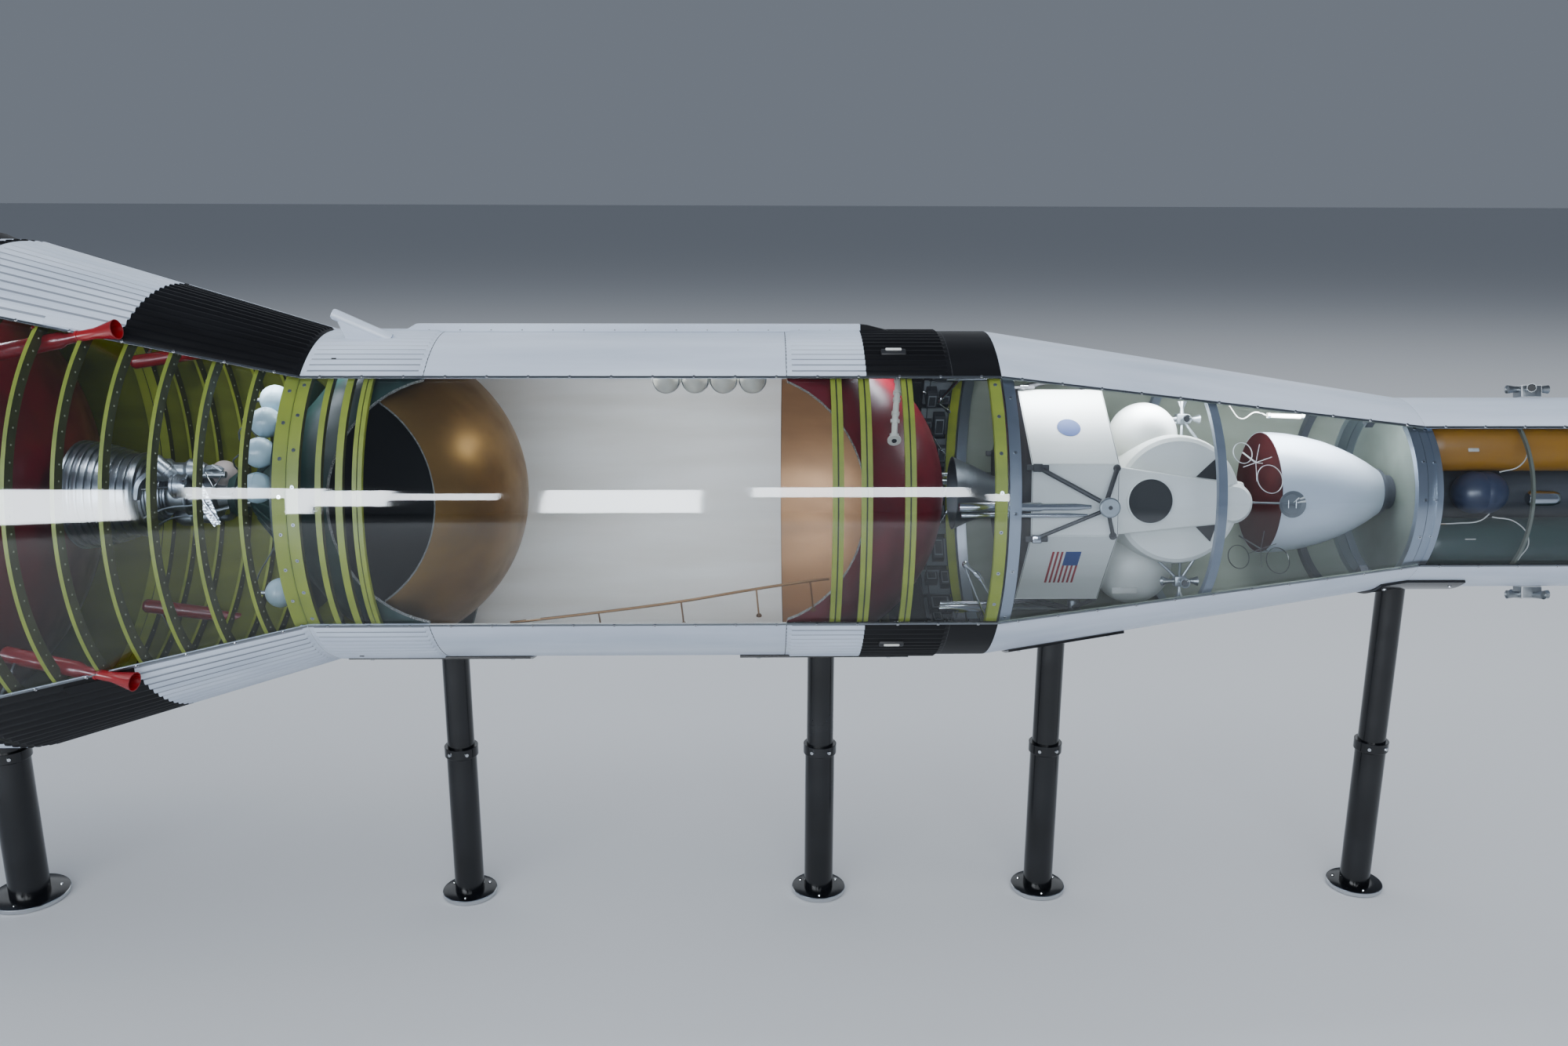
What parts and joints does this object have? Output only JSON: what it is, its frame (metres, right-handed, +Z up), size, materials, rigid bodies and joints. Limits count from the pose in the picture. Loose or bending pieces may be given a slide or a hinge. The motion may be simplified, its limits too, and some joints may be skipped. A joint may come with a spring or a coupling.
{
  "type": "space rocket",
  "caption": "Cutaway display model of a staged moon rocket lying level on black posts, with clear panels over its tanks, engines and lander.",
  "frame": {"origin": "middle of the bounding box, on the floor under the posts", "axes": "+X along the rocket's axis to its nose, +Z up, -Y out of the cutaway window"},
  "size_m": [11.0642, 1.365, 1.5875],
  "materials": {
    "white_paint": "satin white paint",
    "black_paint": "satin black paint",
    "green_paint": "dark green paint",
    "red_paint": "dark red paint",
    "bronze_paint": "bronze paint",
    "cream_paint": "cream paint",
    "bare_metal": "bare metal",
    "stand_black": "gloss black paint",
    "clear_panel": "clear acrylic"
  },
  "bodies": {
    "root": {"first_stage_thrust_skin": "white_paint", "first_stage_forward_skirt": "white_paint", "second_stage_interstage": "white_paint", "second_stage_aft_skirt": "white_paint", "second_stage_forward_skirt": "white_paint", "third_stage_aft_skirt": "white_paint", "third_stage_forward_skirt": "white_paint", "first_stage_oxidizer_tank": "white_paint", "engine_fairing_1": "white_paint", "engine_fairing_2": "white_paint", "engine_fairing_3": "white_paint", "engine_fairing_4": "white_paint", "second_stage_tank": "white_paint", "interstage": "white_paint", "third_stage_tank": "white_paint", "adapter_skin": "white_paint", "service_module_skin": "white_paint", "service_engine_bell": "white_paint", "command_module_cover": "white_paint", "escape_tower": "white_paint", "escape_motor": "white_paint", "third_stage_tunnel": "white_paint", "second_stage_tunnel": "white_paint", "aft_skirt_swept_fairing": "white_paint", "first_stage_intertank": "black_paint", "first_stage_fuel_tank": "black_paint", "instrument_unit": "black_paint", "second_stage_oxidizer_tank": "green_paint", "third_stage_oxidizer_tank": "green_paint", "third_stage_thrust_cone": "green_paint", "second_stage_forward_dome": "red_paint", "third_stage_forward_dome": "red_paint", "service_module_tanks": "bronze_paint", "lander_descent_stage": "cream_paint", "lander_ascent_stage": "cream_paint", "first_stage_engines": "bare_metal", "second_stage_engines": "bare_metal", "third_stage_engine": "bare_metal", "cover_first_stage_aft": "clear_panel", "cover_first_stage_fore": "clear_panel", "cover_second_stage": "clear_panel", "cover_interstage": "clear_panel", "cover_third_stage": "clear_panel", "cover_adapter": "clear_panel", "cover_service_module": "clear_panel", "post_aft_left": "stand_black", "post_aft_right": "stand_black", "post_middle_left": "stand_black", "post_middle_right": "stand_black", "post_second_left": "stand_black", "post_second_right": "stand_black", "post_second_fore": "stand_black", "post_third_aft": "stand_black", "post_third_fore": "stand_black", "post_adapter": "stand_black", "post_service": "stand_black"}
  },
  "joints": []
}
